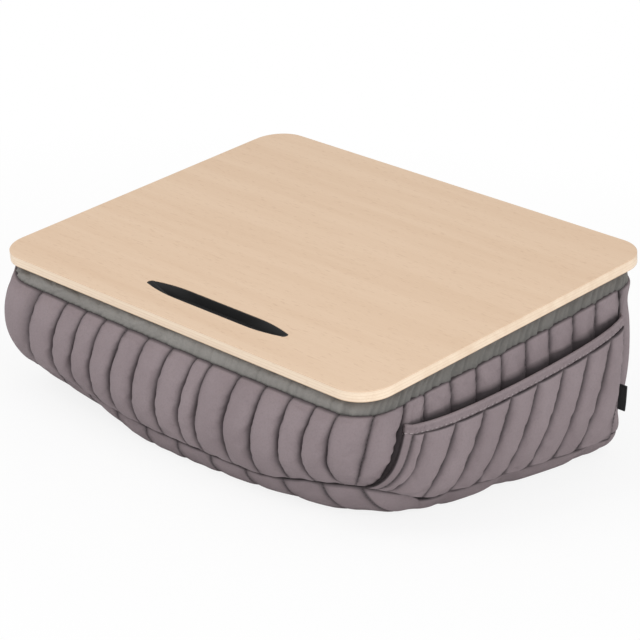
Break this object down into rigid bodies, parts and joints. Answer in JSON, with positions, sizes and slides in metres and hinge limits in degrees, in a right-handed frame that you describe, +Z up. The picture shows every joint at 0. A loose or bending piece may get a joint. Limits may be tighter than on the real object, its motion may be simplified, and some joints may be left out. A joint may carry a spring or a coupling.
{
  "type": "lap tray with cushion",
  "caption": "Sloping wood lap tray with a tablet slot on a wedge-shaped quilted cushion with a side pocket; the board lifts off and the cover zips open.",
  "frame": {"origin": "middle of the cushion's flat underside", "axes": "+Z up, -Y towards the user, +X to the user's right along the long edge"},
  "size_m": [0.5543, 0.4145, 0.2093],
  "materials": {
    "wood_face": "pale satin veneer",
    "wood_edge": "pale sealed edge",
    "black_plastic": "matt black",
    "black_ribbon": "woven ribbon",
    "lining_cloth": "plain lining",
    "filling": "light filling",
    "zip_tape": "woven tape",
    "zip_plastic": "moulded teeth",
    "zip_metal": "satin grey",
    "top_cloth": "smooth grey cloth",
    "hook_loop_tape": "black tape",
    "quilted_cloth": "quilted mauve-grey cloth"
  },
  "bodies": {
    "cushion": {"loop_strip_1": "hook_loop_tape", "loop_strip_2": "hook_loop_tape", "loop_strip_3": "hook_loop_tape", "loop_strip_4": "hook_loop_tape", "top_panel": "top_cloth", "front_band": "quilted_cloth", "right_band": "quilted_cloth", "left_band": "quilted_cloth", "back_band": "quilted_cloth", "bottom_panel": "quilted_cloth", "pocket_panel": "quilted_cloth", "pocket_hem": "quilted_cloth", "side_tag": "black_ribbon", "inner_bag": "lining_cloth", "bead_filling": "filling", "zip_tape_upper": "zip_tape", "zip_tape_lower": "zip_tape", "zip_teeth": "zip_plastic", "zip_stops": "zip_plastic"},
    "board": {"face_veneer": "wood_face", "board_core": "wood_edge", "back_veneer": "wood_edge", "slot_liner": "black_plastic", "hook_strip_1": "hook_loop_tape", "hook_strip_2": "hook_loop_tape", "hook_strip_3": "hook_loop_tape", "hook_strip_4": "hook_loop_tape"},
    "slider": {"zip_slider": "zip_metal"},
    "puller": {"zip_puller": "zip_metal"}
  },
  "joints": [
    {"name": "board_lift", "type": "slide", "parent": "cushion", "child": "board", "axis": [0, -0.1822, 0.9833], "range_m": [0, 0.12]},
    {"name": "zip_slide", "type": "slide", "parent": "cushion", "child": "slider", "axis": [-1, 0, 0], "range_m": [0, 0.3275]},
    {"name": "puller_swing", "type": "hinge", "parent": "slider", "child": "puller", "pos_m": [0.16375, 0.19582, 0.041], "axis": [0, 0, -1], "range_deg": [0, 180]}
  ]
}
